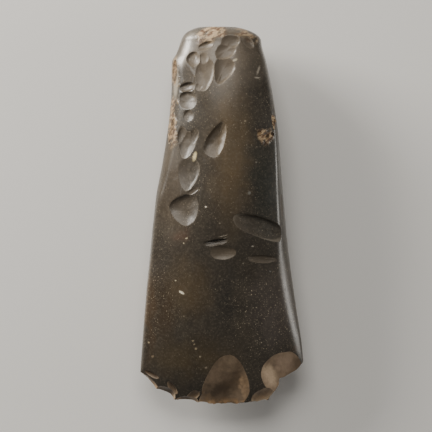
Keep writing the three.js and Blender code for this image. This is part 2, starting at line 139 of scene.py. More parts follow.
def half_width(side, y):
    """Half the width to the left (side -1) or the right (side 1), at a Y."""
    return between(butt_width / 2, blade_width / 2, along(flare[side], 0.5 - y / length))


def cutting_edge(across):
    """Y of the cutting edge under a place across the head, from -1 at its left outline to 1 at its right."""
    return edge_middle + blade_sweep * abs(across) ** edge_curve


def half_section(face, row):
    """Half a section as steps from the left outline to the right: places across, heights off the middle."""
    top = crown[face] * along(thickness[face], row)
    ridge = top * along(edge_height, row)
    y = between(edge_middle, full_rows_end, row)
    down = 0.5 - y / length
    inset = {side: along(edge_inset[face, side], down) / half_width(side, y) for side in (-1, 1)}

    def on_face(across):
        start = -1 + inset[-1]
        m = 2 * (across - start) / (2 - inset[-1] - inset[1]) - 1
        return Vector((across, ridge + (top - ridge) * (1 - m * m)))

    def on_side(side, share):
        return Vector((side * (1 - inset[side] * share * share), ridge * share))

    climb, corner = {}, {}
    for side in (-1, 1):
        worn = min(along(edge_wear[face, side], down) / max(ridge, 1e-9), most_worn)
        onto = worn * ridge / half_width(side, y)
        ends = on_side(side, 1 - worn), on_side(side, 1), on_face(side * (1 - inset[side] - onto))
        climb[side] = [on_side(side, (1 - worn) * k / side_steps) for k in range(side_steps)]
        corner[side] = []
        for k in range(wear_steps + 1):
            t = k / wear_steps
            corner[side].append(ends[0] * (1 - t) ** 2 + ends[1] * (2 * t * (1 - t)) + ends[2] * t * t)
    first, last = corner[-1][-1].x, corner[1][-1].x
    face_line = [on_face(between(first, last, k / face_steps)) for k in range(1, face_steps)]
    return climb[-1] + corner[-1] + face_line + corner[1][::-1] + climb[1][::-1]


def plan_point(across, row):
    """X and Y of a place across and a row, from 0 at the cutting edge to 1 at the last full section."""
    y = between(cutting_edge(across), full_rows_end, row)
    return Vector((across * half_width(-1 if across < 0 else 1, y), y))


def whole_section(row):
    """The whole section at a row: over the front from left to right, then back under it."""
    front, back = half_section("front", row), half_section("back", row)
    if row == 0:
        front = back = [(a + b) / 2 for a, b in zip(front, back)]
    points = []
    for steps, up in ((front, 1), (back[-2:0:-1], -1)):
        for step in steps:
            x, y = plan_point(step.x, row)
            points.append(Vector((x, y, middle_plane + up * step.y)))
    return points


def butt_sections():
    """The butt end: the last section drawn in and carried forward over a quarter circle, then its middle."""
    last = whole_section(1)
    middle = Vector((butt_offset, full_rows_end, middle_plane))
    rings = []
    for k in range(1, butt_rows + 1):
        angle = butt_reach * k / butt_rows
        forward = Vector((0, butt_dome * math.sin(angle) / math.sin(butt_reach), 0))
        rings.append([middle + (point - middle) * math.cos(angle) + forward for point in last])
    return rings + [[Vector((butt_offset, length / 2, middle_plane))] * len(last)]


# Grinding on stone leaves long shallow facets and a slight unevenness that shows only in the shine.
facet_depth = 0.2
facet_size = (13, 46, 13)
dimple_depth = 0.07
dimple_size = (6, 11, 6)
dimple_shift = Vector((7, 3, 5))  # keeps the dimples out of step with the facets
evenness = 30  # millimetres from the cutting edge over which the unevenness comes in


def ground_unevenness(point):
    """How far the grinding stands in from the smooth form at a point, in millimetres."""
    facets = noise.noise(Vector(a / b for a, b in zip(point, facet_size)))
    dimples = noise.noise(Vector(a / b for a, b in zip(point, dimple_size)) + dimple_shift)
    from_edge = min(max((point.y - cutting_edge(point.x / blade_width * 2)) / evenness, 0), 1)
    return from_edge * (facet_depth * (0.5 + 0.5 * facets) + dimple_depth * (0.5 + 0.5 * dimples))


def ground_head():
    """The head before its scars: a flat grid moved onto the sections, closed and slightly uneven."""
    sections = [whole_section((k / body_rows) ** row_crowding) for k in range(body_rows + 1)]
    sections += butt_sections()
    around, rows = len(sections[0]), len(sections) - 1
    bm = bmesh.new()
    bmesh.ops.create_grid(bm, x_segments=around, y_segments=rows, size=0.5)
    for v in bm.verts:
        k, j = round((v.co.x + 0.5) * around), round((v.co.y + 0.5) * rows)
        v.co = sections[j][k % around]
    bmesh.ops.remove_doubles(bm, verts=bm.verts, dist=1e-4)
    bmesh.ops.dissolve_degenerate(bm, edges=bm.edges, dist=1e-5)
    bmesh.ops.recalc_face_normals(bm, faces=bm.faces)
    bm.normal_update()
    moves = [v.normal * -ground_unevenness(v.co) for v in bm.verts]
    for v, move in zip(bm.verts, moves):
        v.co += move
    return bm


def struck_maps(bm):
    """Every piece's two maps: millimetres from where a flake was struck, and its rim's share and paleness."""
    return bm.loops.layers.uv.new("struck"), bm.loops.layers.uv.new("hollow")


finish_names = ("polished flint", "flaked flint", "edge chips", "crust")
finishes = [bpy.data.materials.new(name) for name in finish_names]


def in_scene(name, data):
    """An object with this mesh, lamp or camera in it, put in the scene."""
    made = bpy.data.objects.new(name, data)
    bpy.context.scene.collection.objects.link(made)
    return made


def as_object(name, bm, materials=finishes):
    """An object made of a bmesh, with its materials: all four finishes, unless others are given."""
    mesh = bpy.data.meshes.new(name)
    bm.to_mesh(mesh)
    bm.free()
    for finish in materials:
        mesh.materials.append(finish)
    return in_scene(name, mesh)


def face_height(face, across, row):
    """Height of a face above the middle plane, at a place across and a row."""
    steps = half_section(face, row)
    i = 0
    while i < len(steps) - 2 and steps[i + 1].x < across:
        i += 1
    s = (across - steps[i].x) / max(steps[i + 1].x - steps[i].x, 1e-6)
    return between(steps[i].y, steps[i + 1].y, min(max(s, 0), 1))


def face_at(face, down, across):
    """A point on a broad face, a share of the length down from the butt and a share across."""
    y = length * (0.5 - down)
    foot = cutting_edge(across)
    row = min(max((y - foot) / (full_rows_end - foot), 0), 1)
    height = face_height(face, across, row) * (1 if face == "front" else -1)
    return Vector((across * half_width(-1 if across < 0 else 1, y), y, middle_plane + height))


def side_at(side, down, height):
    """A point on a side. The height is a share of the way from the middle plane to the front edge."""
    y = length * (0.5 - down)
    row = min(max((y - edge_middle) / (full_rows_end - edge_middle), 0), 1)
    ridge = front_crown * along(thickness["front"], row) * along(edge_height, row)
    inset = along(edge_inset["front", side], down) * height * height
    return Vector((side * (half_width(side, y) - inset), y, middle_plane + ridge * height))


def place_on(face, down, across):
    """A place's point and normal, the way that its face looks out, and the direction of angle zero."""
    step = 0.01
    broad = face in ("front", "back")
    out = -1 if face in ("back", "left") else 1
    outward, zero = Vector((0, 0, out)), Vector((1, 0, 0))
    if not broad:
        outward, zero = Vector((out, 0, 0)), Vector((0, 1, 0))

    def at(d, a):
        return face_at(face, d, a) if broad else side_at(out, d, a)

    lengthways = at(down - step, across) - at(down + step, across)
    crossways = at(down, across + step) - at(down, across - step)
    normal = crossways.cross(lengthways).normalized()
    if normal.dot(outward) < 0:
        normal.negate()
    return at(down, across), normal, outward, zero


def direction_at(normal, outward, zero, degrees):
    """A direction along the surface. Seen from outside, its angle runs anticlockwise from zero."""
    flat = Quaternion(outward, math.radians(degrees)) @ zero
    return (flat - outward * (flat.dot(normal) / outward.dot(normal))).normalized()


# The flats that were ground last: one on each side for the haft, one under the back, and a bevel on the left
# corner of the butt that rounds over towards the front. Each is cut by a big block standing on its plane.
haft_cut = 0.45
haft_flats = {"left": 0.49, "right": 0.235}  # shares of the length down from the butt
bevel_place = (0.008, -0.87)  # share down, share across
bevel_turn = math.radians(154)
bevel_rises = (10, 30, 50, 60, 68)  # degrees that its planes look up, from the side to the face
bevel_widths = (5, 0.4, 3, 0.5)  # how far up each plane goes before the next one
block_size = length * 1.2


def block_beyond(name, point, normal):
    """A block that takes away everything beyond a plane through a point."""
    bm = bmesh.new()
    bmesh.ops.create_cube(bm, size=block_size)
    struck_maps(bm)
    bmesh.ops.translate(bm, vec=(0, 0, block_size / 2), verts=bm.verts)
    turn = Vector((0, 0, 1)).rotation_difference(normal).to_matrix()
    bmesh.ops.rotate(bm, cent=(0, 0, 0), matrix=turn, verts=bm.verts)
    bmesh.ops.translate(bm, vec=point, verts=bm.verts)
    return as_object(name, bm)


cutters = []
for face, down in haft_flats.items():
    point, normal, *_ = place_on(face, down, 0)
    cutters.append(block_beyond(f"{face} haft flat", point - normal * haft_cut, normal))
cutters.append(block_beyond("resting flat", Vector((0, 0, 0)), Vector((0, 0, -1))))
bevel_y = length * (0.5 - bevel_place[0])
bevel_point = Vector((bevel_place[1] * half_width(-1, bevel_y), bevel_y, middle_plane))
bevel_out = Vector((math.cos(bevel_turn), math.sin(bevel_turn), 0))
upward = Vector((0, 0, 1))
for rise, width in zip(map(math.radians, bevel_rises), (*bevel_widths, 0)):
    bevel_normal = bevel_out * math.cos(rise) + upward * math.sin(rise)
    cutters.append(block_beyond("butt bevel", bevel_point, bevel_normal))
    bevel_point = bevel_point + width * (upward - bevel_out * math.tan(rise))


# The flake scars. A struck flake leaves a shallow hollow, steep on one side and running out to nothing on the
# others, with faint ripples that spread from the blow. The grinding never reached the bottom of these.
scoop_reach = 1.2  # how far the hollow's floor goes on past its rim, as a share
scoop_lid = 9.0  # how far a cutter's lid stands above the surface
steepest_wall = 7.0  # added to the floor's power of 2 on the steep side
scoop_step = 0.5  # millimetres between the points of a floor
rim_wander = 0.035  # how unevenly a flake's outline runs, as a share
floor_wander = 0.07  # how unevenly its floor lies, as a share of the depth
seed_step = 3.7  # between the noise of one scoop and of the next


def scoop(size, turn=0, steep=None, crisp=0.4, taper=0, square=2, arch=0, tint=0.5, finish=flaked, seed=0,
          **rest):
    """A flake's hollow: a sphere's lower rings are spread into its floor and its upper ones into a lid."""
    long, wide, deep = size
    wall = math.radians((turn if steep is None else steep) - turn)
    sides = max(16, round(math.pi * (long + wide) / 2 / scoop_step))
    rings = max(6, round((long + wide) / 4 / scoop_step))
    last = rings + 3
    bm = bmesh.new()
    bmesh.ops.create_uvsphere(bm, u_segments=sides, v_segments=last, radius=1)
    blow = Vector((long / 2 * math.cos(wall), wide / 2 * math.sin(wall)))
    shares = {}
    for v in bm.verts:
        ring = round(math.acos(min(max(-v.co.z, -1), 1)) / math.pi * last)
        angle = math.atan2(v.co.y, v.co.x)
        c, w = math.cos(angle), math.sin(angle)
        r = scoop_reach * min(ring / rings, 1, (last - ring) / 2)
        power = 2 + steepest_wall * crisp * max(0, math.cos(angle - wall)) ** 2
        reach = r * (abs(c) ** square + abs(w) ** square) ** (-1 / square)
        reach *= 1 + rim_wander * noise.noise(Vector((2.2 * c, 2.2 * w, seed)))
        x, y = long / 2 * reach * c, wide / 2 * reach * w * (1 - taper * c)
        floor = -deep * (1 - r**power) if r <= 1 else deep * power * (r - 1)
        floor += floor_wander * deep * noise.noise(Vector((x / 2.5, y / 2.5, seed + 0.5))) * max(0, 1 - r * r)
        floor -= arch * (reach * c) ** 2
        v.co = (x, y, floor if ring <= rings else scoop_lid)
        shares[v] = min(r, 1)
    struck, hollow = struck_maps(bm)
    for face in bm.faces:
        face.material_index = finish
        for loop in face.loops:
            loop[struck].uv = loop.vert.co.xy - blow
            loop[hollow].uv = (shares[loop.vert], tint)
    return bm


def scoop_at(name, place, shape):
    """A scoop set at a place, leaned by some degrees towards a direction."""
    point, normal, outward, zero = place
    tip = math.radians(shape.get("lean", 0))
    towards = direction_at(normal, outward, zero, shape.get("leanTo", 0))
    normal = normal * math.cos(tip) + towards * math.sin(tip)
    first = direction_at(normal, outward, zero, shape.get("turn", 0))
    second = normal.cross(first)
    bm = scoop(seed=len(cutters) * seed_step, **shape)
    bmesh.ops.transform(bm, matrix=Matrix((first, second, normal)).transposed().to_4x4(), verts=bm.verts)
    bmesh.ops.translate(bm, vec=point, verts=bm.verts)
    bmesh.ops.recalc_face_normals(bm, faces=bm.faces)
    cutters.append(as_object(name, bm))


# Each scar is `at` a share of the length down from the butt and a share of the half width across. Its size is
# long, wide and deep in millimetres. Its turn, and the side where it is steep, are in degrees from +X.
front_scars = {
    "right lens": dict(
        at=(0.53, 0.6), size=(26.5, 9.6, 1.9), turn=-17, steep=74, crisp=1, square=2.3, arch=1.6, tint=0.15,
    ),
    "teardrop": dict(
        at=(0.487, -0.53), size=(15.4, 15, 2), turn=-74, steep=118, crisp=0.5, taper=0.36, square=2.3,
        tint=0.1,
    ),
    "double rim": dict(
        at=(0.391, -0.541), size=(16.4, 11, 1.3), turn=84, steep=-12, crisp=0.9, taper=-0.35, tint=0.2,
    ),
    "ledge": dict(at=(0.437, -0.45), size=(9.4, 2.8, 0.5), turn=32, steep=-55, crisp=0.6),
    "heart": dict(at=(0.314, -0.605), size=(13.6, 9, 1.4), turn=77, steep=150, taper=-0.3),
    "heart left": dict(at=(0.296, -0.69), size=(11, 6, 1.1), turn=94, steep=150),
    "heart right": dict(at=(0.296, -0.52), size=(10.6, 5.4, 0.95), turn=62, steep=-30, crisp=0.6),
    "centre": dict(
        at=(0.299, -0.078), size=(18.6, 8.8, 1.9), turn=65, steep=150, crisp=0.7, taper=0.38, square=2.4,
    ),
    "half moon": dict(at=(0.197, -0.664), size=(10.6, 8.6, 1.4), turn=-8, steep=92, crisp=1, square=2.2),
    "under moon": dict(at=(0.236, -0.62), size=(5.8, 5.6, 0.8), turn=60, steep=140, crisp=0.6),
    "crescent": dict(at=(0.162, -0.687), size=(9.8, 4.6, 1.4), turn=12, steep=102, crisp=0.7),
    "slit": dict(at=(0.57, -0.07), size=(14.5, 3, 1), turn=9, steep=97, crisp=1, tint=0.2),
    "under slit": dict(
        at=(0.597, 0.03), size=(15.6, 7, 1), turn=-2, steep=80, crisp=0.3, taper=0.15, tint=0.9,
    ),
    "low line": dict(at=(0.614, 0.59), size=(19, 3.8, 0.9), turn=-2, steep=88, crisp=0.9, tint=0.6),
}
# Scars round the butt, struck down from the end of the head
butt_scars = {
    "plane": dict(
        at=(0.127, -0.345), size=(17.5, 10, 1.4), turn=80, steep=-12, crisp=0.8, taper=-0.1, tint=0.8,
    ),
    "plane low": dict(at=(0.15, -0.4), size=(9.5, 4.6, 0.9), turn=58, steep=-25, crisp=0.7, tint=0.8),
    "plane top": dict(at=(0.09, -0.34), size=(9, 5, 0.9), turn=104, steep=200, crisp=0.6, tint=0.6),
    "wedge inner": dict(
        at=(0.125, 0.09), size=(13, 4, 0.9), turn=67, steep=-25, crisp=0.8, taper=-0.3, tint=0.7,
    ),
    "wedge": dict(
        at=(0.118, 0.035), size=(15.6, 9.6, 1.4), turn=67, steep=-25, crisp=0.9, taper=-0.45, tint=0.6,
    ),
    "round": dict(at=(0.089, -0.56), size=(8.4, 8, 1.5), turn=90, steep=125, crisp=0.8, tint=0.7),
    "arc": dict(at=(0.066, 0.098), size=(13, 8, 1.2), turn=28, steep=-62, crisp=0.8, tint=0.7),
    "right arc": dict(at=(0.04, 0.22), size=(10.4, 7.4, 1), turn=20, steep=-25, crisp=0.7, tint=0.7),
    "dark": dict(at=(0.053, -0.362), size=(8.8, 4, 1.1), turn=18, steep=105, crisp=0.7),
    "right end": dict(at=(0.045, 0.64), size=(8.4, 5, 0.8), turn=-45, steep=50, lean=15, leanTo=60),
}
# Scars on the sides: the height is 0 at the middle plane and 1 at the front edge. Angles run from +Y.
left_side_scars = {
    "left hollow": dict(at=(0.12, 0.62), size=(13, 5, 1.1), turn=4, finish=crusted),
    "left rough": dict(at=(0.275, 0.7), size=(13, 4.4, 0.8), turn=-4, finish=crusted),
    "left old": dict(at=(0.7, -0.35), size=(22, 8, 0.9), turn=3, steep=90),
}
right_side_scars = {
    "right dent": dict(at=(0.478, 0.7), size=(15, 5, 0.6), turn=-3),
    "right old": dict(at=(0.66, -0.4), size=(20, 7, 0.8), turn=-3, steep=-90),
    "right high": dict(at=(0.11, -0.3), size=(12, 7, 0.8), turn=10, steep=70),
}
# Scars on the back, fewer and plainer
back_scars = {
    "butt left": dict(at=(0.11, -0.4), size=(19, 13, 1.4), turn=84, steep=20, crisp=0.7, taper=0.2),
    "butt right": dict(at=(0.09, 0.36), size=(15, 12, 1.3), turn=100, steep=170, crisp=0.6),
    "back right long": dict(at=(0.3, 0.68), size=(20, 9, 1.4), turn=-70, steep=190, crisp=0.7, taper=0.25),
    "back left long": dict(at=(0.42, -0.72), size=(17, 9, 1.3), turn=65, steep=-10, crisp=0.6, taper=0.2),
    "back left low": dict(at=(0.66, -0.66), size=(15, 9, 1.1), turn=20, steep=100, crisp=0.8),
    "back right low": dict(at=(0.72, 0.6), size=(12, 6, 0.8), turn=10, steep=90, crisp=0.8),
}
for face, scars in (("front", front_scars), ("front", butt_scars), ("left", left_side_scars),
                    ("right", right_side_scars), ("back", back_scars)):
    for name, scar in scars.items():
        scoop_at(name, place_on(face, *scar.pop("at")), scar)


# The blade's edge. Chips were struck off it from both faces, one corner is broken away, and small bites run
# all along it. The fresh stone in them is paler and duller than the polish.
edge_chips = {
    "middle chip": dict(
        at=(0.949, 0.066), size=(37, 22.5, 1.9), turn=84, crisp=0.3, taper=0.32, square=2.5, tint=0.35,
    ),
    "right chip": dict(
        at=(0.904, 0.75), size=(28, 22.5, 2), turn=22, steep=150, crisp=0.3, lean=8, leanTo=-55, tint=0.95,
    ),
    "middle foot": dict(
        at=(0.978, -0.17), size=(15, 5.6, 1), turn=62, steep=150, lean=6, leanTo=-90, tint=0.7,
    ),
    "between": dict(at=(0.97, 0.497), size=(11.4, 6.8, 0.9), turn=25, lean=16, leanTo=-65, tint=0.8),
    "left corner": dict(at=(0.935, -0.9), size=(13, 5.6, 1.1), turn=-40, lean=38, leanTo=-125, tint=0.3),
    "left steep": dict(at=(0.962, -0.7), size=(10.4, 8, 1.3), turn=-20, lean=30, leanTo=-95, tint=0.3),
    "left middle": dict(at=(0.987, -0.42), size=(10.6, 7.4, 1.2), turn=-4, lean=30, leanTo=-90, tint=0.3),
    "left ledge": dict(at=(0.92, -0.86), size=(9, 2.4, 0.7), turn=-28, steep=62, crisp=1, tint=0.2),
    "left ridge": dict(at=(0.955, -0.6), size=(8.5, 3.2, 0.8), turn=-57, steep=30, crisp=0.8, tint=0.6),
    "left low": dict(
        at=(0.972, -0.33), size=(7, 4, 0.8), turn=30, steep=120, crisp=0.6, lean=12, leanTo=-90, tint=0.5,
    ),
}
back_chips = {
    "blade left": dict(at=(0.93, -0.42), size=(18, 17, 1.3), turn=90, taper=0.2),
    "corner": dict(at=(0.9, 0.8), size=(27, 20, 2.6), turn=60, steep=200, crisp=0.5, lean=10, leanTo=60),
    "blade right": dict(at=(0.935, 0.36), size=(21, 18, 1.4), turn=84, taper=0.2),
}
for face, chips in (("front", edge_chips), ("back", back_chips)):
    for name, chip in chips.items():
        scoop_at(name, place_on(face, *chip.pop("at")), dict(chip, finish=chipped))

# The broken outline of the lost corner, from the cutting edge up to the side: shares across and down
corner_break = [(0.58, 0.992), (0.6, 0.977), (0.671, 0.961), (0.702, 0.945), (0.715, 0.931), (0.793, 0.923),
                (0.878, 0.914), (0.962, 0.899), (1.006, 0.884)]
break_cuts = 40
break_height = 44.0
break_depth = 60.0
break_outward = Vector((0.6, -0.8))
break_wander = 0.5
break_grain = 2.4
break_ends = Vector((-3, -12)), Vector((12, 8))  # how far the line is carried on past its two ends


def corner_line(share):
    """A point on the broken outline, carried on straight past both of its ends."""
    points = [Vector((across * blade_width / 2, length * (0.5 - down))) for across, down in corner_break]
    points = [points[0] + break_ends[0]] + points + [points[-1] + break_ends[1]]
    place = share * (len(points) - 1)
    i = min(int(place), len(points) - 2)
    return between(points[i], points[i + 1], place - i)


def lost_corner():
    """The piece broken off the right corner, as a block with the broken outline on its inner side."""
    bm = bmesh.new()
    bmesh.ops.create_cube(bm, size=1)
    bmesh.ops.subdivide_edges(bm, edges=bm.edges, cuts=break_cuts, use_grid_fill=True)
    struck_maps(bm)
    for face in bm.faces:
        face.material_index = chipped
    for v in bm.verts:
        a, b, c = v.co + Vector((0.5, 0.5, 0.5))
        flat = corner_line(a) + break_outward * (break_depth * b)
        z = middle_plane + (c - 0.5) * break_height
        rough = break_wander * noise.noise(Vector((flat.x, flat.y, z)) / break_grain)
        v.co = (flat.x + rough * break_outward.x, flat.y + rough * break_outward.y, z)
    bmesh.ops.recalc_face_normals(bm, faces=bm.faces)
    return as_object("lost corner", bm)


cutters.append(lost_corner())

# Small bites all along the edge, from both faces by turns. Their places and sizes run unevenly.
bite_rows = {
    "large bites": dict(count=15, span=(-0.9, 0.58), widths=(1.8, 4.2), tilt=46, start=0),
    "small bites": dict(count=34, span=(-0.97, 0.6), widths=(0.7, 1.8), tilt=52, start=0.3),
}
bite_length = 1.5  # along the edge, for each millimetre of width
bite_depth = 0.22  # for each millimetre of width
place_step, width_step, place_spread = 0.618, 0.146, 0.8


def bites(name, count, span, widths, tilt, start):
    """One row of bites along the cutting edge."""
    tilt = math.radians(tilt)
    for k in range(count):
        across = between(*span, (k + place_spread * ((k * place_step + start) % 1)) / count)
        width = between(*widths, (k * width_step + start) % 1)
        up = 1 if k % 2 else -1
        edge = plan_point(across, 0)
        beside = (plan_point(across + 0.02, 0) - plan_point(across - 0.02, 0)).normalized()
        normal = Vector((beside.y * math.cos(tilt), -beside.x * math.cos(tilt), up * math.sin(tilt)))
        place = Vector((edge.x, edge.y, middle_plane)), normal, Vector((0, 0, up)), Vector((*beside, 0))
        size = width * bite_length, width, width * bite_depth
        scoop_at(f"{name} {k}", place, dict(size=size, finish=chipped))


for name, row in bite_rows.items():
    bites(name, **row)


# Small old damage: the pits of a crusty patch near the right side, which were in the nodule from the start,
# and two scratches and a deep line beside a slit-like scar, where a blow didn't take the flake off.
pits = {
    "pit 1": dict(at=(0.282, 0.665), size=(2.6, 2.2, 0.7), turn=20, finish=crusted),
    "pit 2": dict(at=(0.293, 0.8), size=(3.2, 2, 0.8), turn=60, finish=crusted),
    "pit 3": dict(at=(0.285, 0.89), size=(2.4, 1.8, 0.7), turn=-40, finish=crusted),
    "pit 4": dict(at=(0.251, 0.95), size=(3.4, 1.8, 0.7), turn=70, finish=crusted),
    "scratch 1": dict(at=(0.5525, 0.028), size=(6.6, 0.7, 0.25), turn=14, tint=1),
    "scratch 2": dict(at=(0.559, 0.04), size=(5.4, 0.6, 0.2), turn=20, tint=1),
    "slit line": dict(at=(0.5665, -0.075), size=(12, 1.2, 1.5), turn=10, steep=96, crisp=1, tint=0),
}
for name, pit in pits.items():
    scoop_at(name, place_on("front", *pit.pop("at")), pit)


# Cutting: every cutter is taken out of the ground head in turn. The grinding has also softened the rims of
# the old scars, so those are smoothed a little, and the finished mesh is brought to metres.
rim_softening = 0.35
rim_rounds = 2
sharpest = math.radians(38)  # edges turned more than this stay crisp
weld_distance, thinnest = 0.02, 0.01
every_way = {"use_axis_" + axis: True for axis in "xyz"}

body = ground_head()
struck_maps(body)
uncut = as_object("uncut head", body)
for cutter in cutters:
    cut = uncut.modifiers.new(cutter.name, "BOOLEAN")
    cut.operation = "DIFFERENCE"
    cut.solver = "MANIFOLD"
    cut.object = cutter
bpy.context.view_layer.update()
shaped = bpy.data.meshes.new_from_object(uncut.evaluated_get(bpy.context.evaluated_depsgraph_get()))
for made in (uncut, *cutters):
    bpy.data.objects.remove(made)

bm = bmesh.new()
bm.from_mesh(shaped)
bmesh.ops.remove_doubles(bm, verts=bm.verts, dist=weld_distance)
bmesh.ops.dissolve_degenerate(bm, edges=bm.edges, dist=thinnest)
for _ in range(rim_rounds):
    rim = [v for v in bm.verts if {f.material_index for f in v.link_faces} == {polished, flaked}]
    bmesh.ops.smooth_vert(bm, verts=rim, factor=rim_softening, **every_way)
bmesh.ops.scale(bm, vec=(millimetre,) * 3, verts=bm.verts)
for v in bm.verts:
    v.co = [min(max(a, lowest), highest) for a, lowest, highest in zip(v.co, *cad_box)]
bmesh.ops.recalc_face_normals(bm, faces=bm.faces)
head = as_object("head", bm)
to_edge = head.data.attributes.new("to_edge", "FLOAT", "POINT")
for v, value in zip(head.data.vertices, to_edge.data):
    x, y = v.co.xy / millimetre
    value.value = max(0, y - cutting_edge(min(abs(x) / (blade_width / 2), 1)))
head.data.shade_smooth()
head.data.set_sharp_from_angle(angle=sharpest)
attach(head, "root")
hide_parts("axe_head")


# The stone inside. Flint is a dark, glassy stone with soft clouds of grey, olive and brown, small pale
# grains, and tan crust where the outside of the nodule was left on. Every finish shows the same stone.
def colour(r, g, b):
    """An sRGB colour, from 0 to 255 a channel, as the linear one that a socket takes."""
    linear = [c / 255 / 12.92 if c <= 10 else ((c / 255 + 0.055) / 1.055) ** 2.4 for c in (r, g, b)]
    return (*linear, 1)


def node(tree, kind, sockets=None, **settings):
    """A node with its settings, and its sockets set to values or linked to other nodes' outputs."""
    made = tree.nodes.new(kind)
    for name, value in settings.items():
        setattr(made, name, value)
    for name, value in (sockets or {}).items():
        if isinstance(value, bpy.types.NodeSocket):
            tree.links.new(value, made.inputs[name])
        else:
            made.inputs[name].default_value = value
    return made


def maths(tree, operation, *values):
    """The result of one sum on numbers."""
    return node(tree, "ShaderNodeMath", dict(enumerate(values)), operation=operation).outputs[0]


def vectors(tree, operation, *values):
    """The result of one sum on vectors."""
    made = node(tree, "ShaderNodeVectorMath", dict(enumerate(values)), operation=operation)
    return made.outputs["Value" if operation == "LENGTH" else "Vector"]


def over(tree, share, under, top, mode="MIX"):
    """One colour laid over another by a share."""
    sockets = {0: share, 6: under, 7: top}
    return node(tree, "ShaderNodeMix", sockets, data_type="RGBA", blend_type=mode).outputs[2]


def eased(tree, value, start, end, low=0.0, high=1.0):
    """A value eased from low to high as it goes from start to end."""
    sockets = {"Value": value, "From Min": start, "From Max": end, "To Min": low, "To Max": high}
    return node(tree, "ShaderNodeMapRange", sockets, interpolation_type="SMOOTHSTEP").outputs[0]


def cloudy(tree, place, scale, detail=3.0, stretch=None):
    """A noise value at a place, with its scale in patches to the metre."""
    if stretch:
        place = vectors(tree, "MULTIPLY", place, stretch)
    return node(tree, "ShaderNodeTexNoise", {"Vector": place, "Scale": scale, "Detail": detail}).outputs[0]


def new_group(name, inputs, outputs):
    """An empty node group with named sockets, and its input and output nodes."""
    tree = bpy.data.node_groups.new(name, "ShaderNodeTree")
    for in_out, sockets in (("INPUT", inputs), ("OUTPUT", outputs)):
        for label, kind in sockets.items():
            tree.interface.new_socket(name=label, in_out=in_out, socket_type="NodeSocket" + kind)
    return tree, tree.nodes.new("NodeGroupInput"), tree.nodes.new("NodeGroupOutput")


def placed(tree, group, sockets=None):
    """A node group placed in another tree."""
    return node(tree, "ShaderNodeGroup", sockets, node_tree=group)


# A patch: 1 inside an oval on the plan of the head, easing to 0 at its ragged edge
oval = {"Place": "Vector", "Centre": "Vector", "Reach": "Vector", "Turn": "Float", "Core": "Float"}
patch, given, result = new_group("patch", oval, {"Mask": "Float"})
away = vectors(patch, "SUBTRACT", given.outputs["Place"], given.outputs["Centre"])
sockets = {"Vector": away, "Angle": given.outputs["Turn"]}
away = node(patch, "ShaderNodeVectorRotate", sockets, rotation_type="Z_AXIS")
away = vectors(patch, "DIVIDE", away.outputs[0], given.outputs["Reach"])
far = vectors(patch, "LENGTH", vectors(patch, "MULTIPLY", away, (1, 1, 0)))
patch.links.new(eased(patch, far, 1.0, given.outputs["Core"]), result.inputs["Mask"])


def patch_mask(tree, place, centre, reach, turn=0, core=0.2):
    """A patch's mask, from a centre and a reach in millimetres and a turn in degrees."""
    sockets = {
        "Place": place,
        "Centre": (centre[0] * millimetre, centre[1] * millimetre, 0),
        "Reach": (reach[0] * millimetre, reach[1] * millimetre, 1),
        "Turn": math.radians(-turn),
        "Core": core,
    }
    return placed(tree, patch, sockets).outputs["Mask"]


def lay_patches(tree, place, patches, under, core, limit=1.0):
    """Patches laid over a colour: each is its centre, reach and turn, its colour and its strength."""
    for centre, reach, turn, tone, strength in patches:
        mask = maths(tree, "MULTIPLY", patch_mask(tree, place, centre, reach, turn, core), strength)
        under = over(tree, maths(tree, "MULTIPLY", mask, limit), under, colour(*tone))
    return under


def wandering(tree, place, scale, reach):
    """A place swayed by noise, with its scale in patches to the metre and its reach in millimetres."""
    sway = node(tree, "ShaderNodeTexNoise", {"Vector": place, "Scale": scale, "Detail": 4.0}).outputs["Color"]
    sway = vectors(tree, "SUBTRACT", sway, (0.5, 0.5, 0.5))
    return vectors(tree, "ADD", place, vectors(tree, "MULTIPLY", sway, (reach * millimetre,) * 3))


# Broad clouds in the stone, in millimetres from the middle of the head
clouds = [
    ((-1, 74), (27, 26), 0, (124, 112, 97), 0.6),
    ((4, 30), (14, 52), 0, (110, 91, 64), 0.6),
    ((-22, 8), (12, 40), 8, (88, 77, 64), 0.5),
    ((-25, 18), (7, 22), 6, (58, 50, 40), 0.6),
    ((21, 14), (12, 34), 0, (43, 46, 41), 0.75),
    ((-15, -33), (15, 20), 0, (94, 77, 52), 0.6),
    ((-33, -45), (4, 34), 0, (78, 58, 38), 0.5),
    ((-27, -42), (8, 26), 4, (60, 44, 26), 0.55),
    ((24, -44), (16, 30), 0, (90, 81, 76), 0.55),
    ((2, -38), (7, 24), 0, (42, 39, 36), 0.6),
    ((-18, -8), (6, 5), 0, (104, 68, 52), 0.25),
    ((-12, -66), (28, 14), 0, (82, 68, 45), 0.6),
    ((34.5, -61), (3, 2.5), 0, (96, 72, 52), 0.4),
]
